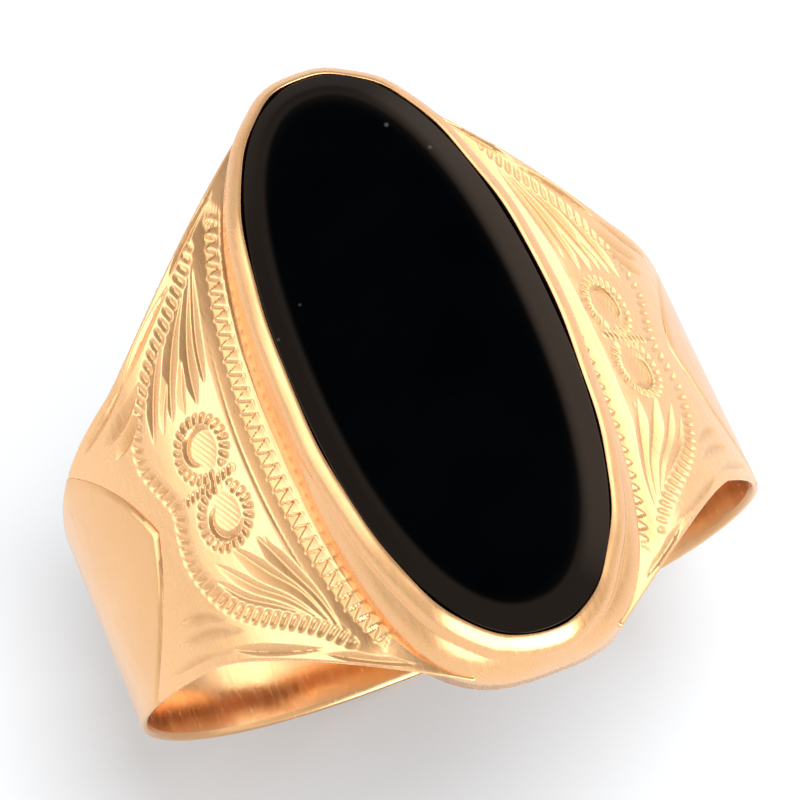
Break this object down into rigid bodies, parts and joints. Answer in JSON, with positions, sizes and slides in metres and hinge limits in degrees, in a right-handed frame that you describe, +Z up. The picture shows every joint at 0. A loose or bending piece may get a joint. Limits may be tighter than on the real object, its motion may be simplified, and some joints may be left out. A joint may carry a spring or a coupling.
{
  "type": "signet ring",
  "caption": "Gold signet ring with a long oval black onyx tablet in a rubover collet, wide engraved shoulders and a plain shank that narrows towards the palm.",
  "frame": {"origin": "lowest point of the shank, at the palm, below the middle of the ring", "axes": "+Z up through the tablet, Y along the finger, X across the hand"},
  "size_m": [0.0198, 0.019, 0.0219],
  "materials": {
    "onyx": "polished, opaque black",
    "collet_gold": "9 ct rose-yellow gold, burnished by hand",
    "bearing_gold": "9 ct rose-yellow gold, unpolished inside the setting",
    "left_engraved_gold": "9 ct rose-yellow gold, hand engraved and bright cut",
    "right_engraved_gold": "9 ct rose-yellow gold, hand engraved and bright cut",
    "shank_gold": "9 ct rose-yellow gold, polished, with light wear"
  },
  "bodies": {
    "root": {"onyx_tablet": "onyx", "setting_collet": "collet_gold", "bearing_ledge": "bearing_gold", "left_shoulder": "left_engraved_gold", "right_shoulder": "right_engraved_gold", "plain_shank": "shank_gold"}
  },
  "joints": []
}
